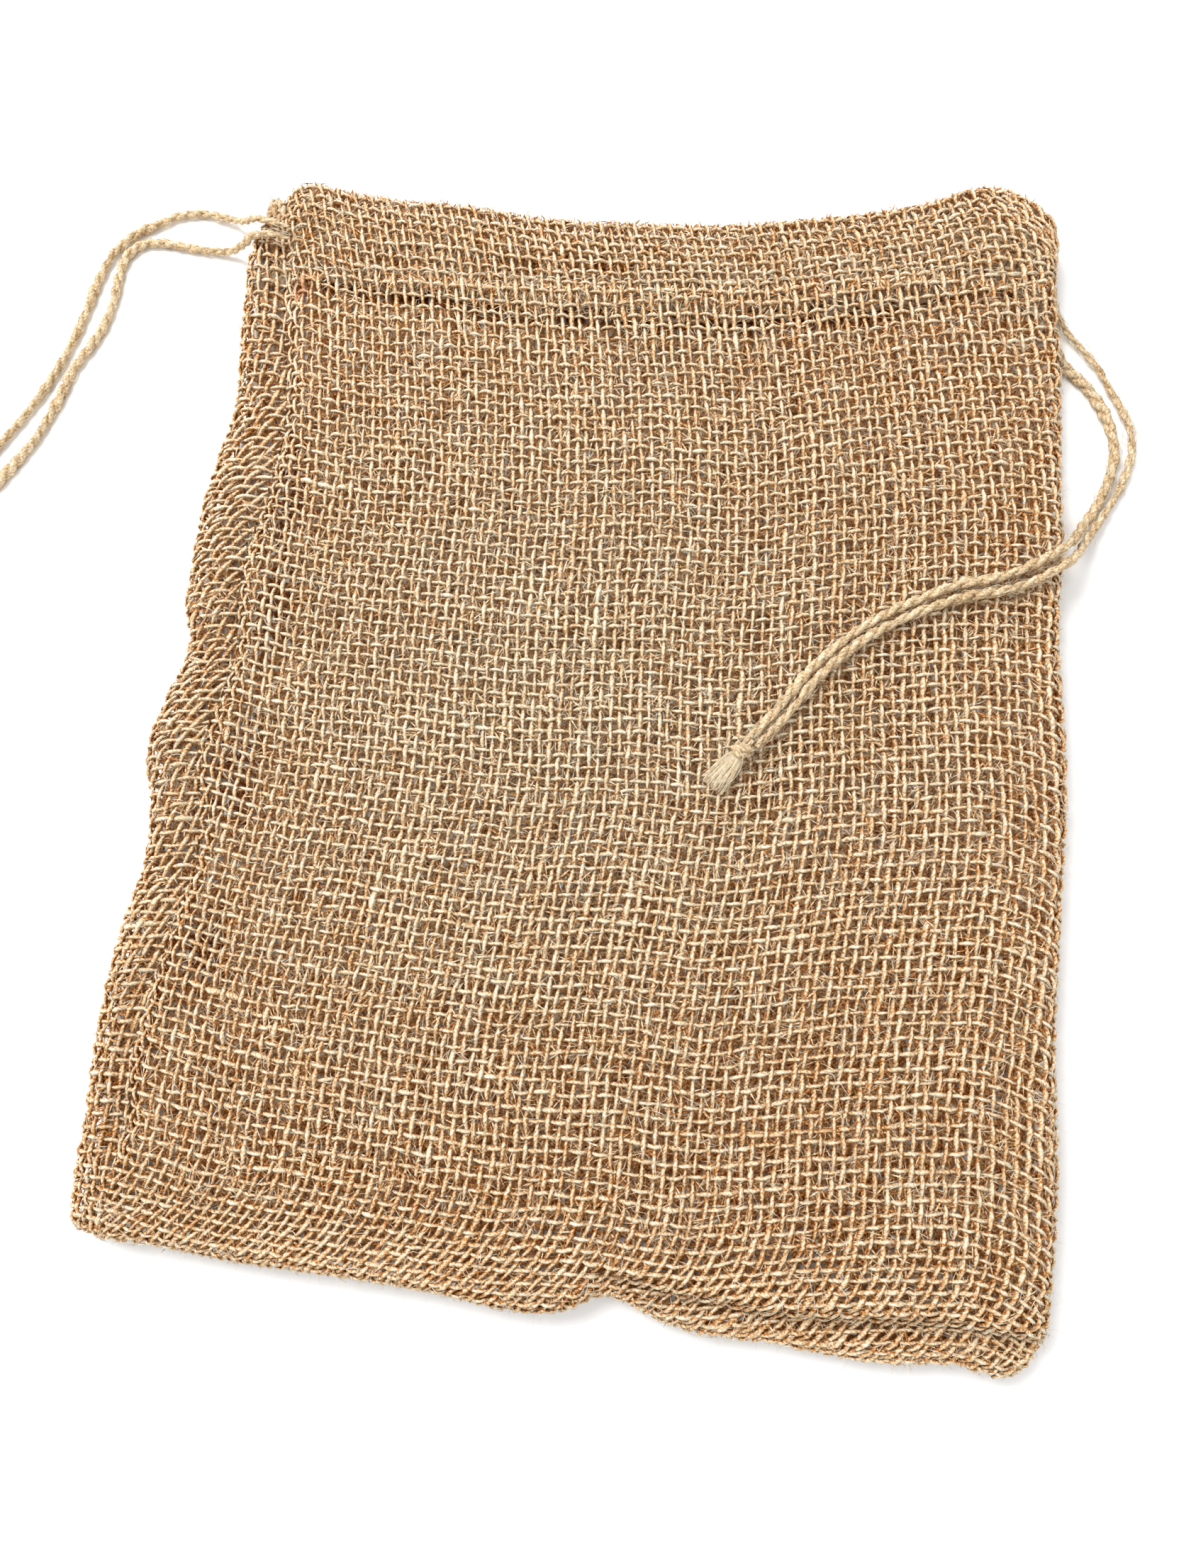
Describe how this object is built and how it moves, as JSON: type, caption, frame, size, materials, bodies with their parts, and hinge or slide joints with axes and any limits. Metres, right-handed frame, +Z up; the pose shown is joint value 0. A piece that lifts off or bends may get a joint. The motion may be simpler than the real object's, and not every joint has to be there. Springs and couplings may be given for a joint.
{
  "type": "hessian drawstring sack",
  "caption": "Small empty hessian sack lying flat on its back, with a casing at the mouth and jute twine drawstrings knotted at both sides.",
  "frame": {"origin": "middle of the sack's own box, on the surface that its back panel lies on", "axes": "+X across the sack to its folded side, +Y towards the mouth, +Z up out of the front panel"},
  "size_m": [0.3073, 0.2587, 0.0136],
  "materials": {
    "hessian": "rough plain-weave jute, natural brown",
    "jute_twine": "hairy two-ply jute twine, pale straw"
  },
  "bodies": {
    "root": {"sack_cloth": "hessian", "left_drawstring_outer": "jute_twine", "left_drawstring_inner": "jute_twine", "right_drawstring_outer": "jute_twine", "right_drawstring_inner": "jute_twine", "left_knot": "jute_twine", "right_knot": "jute_twine"}
  },
  "joints": []
}
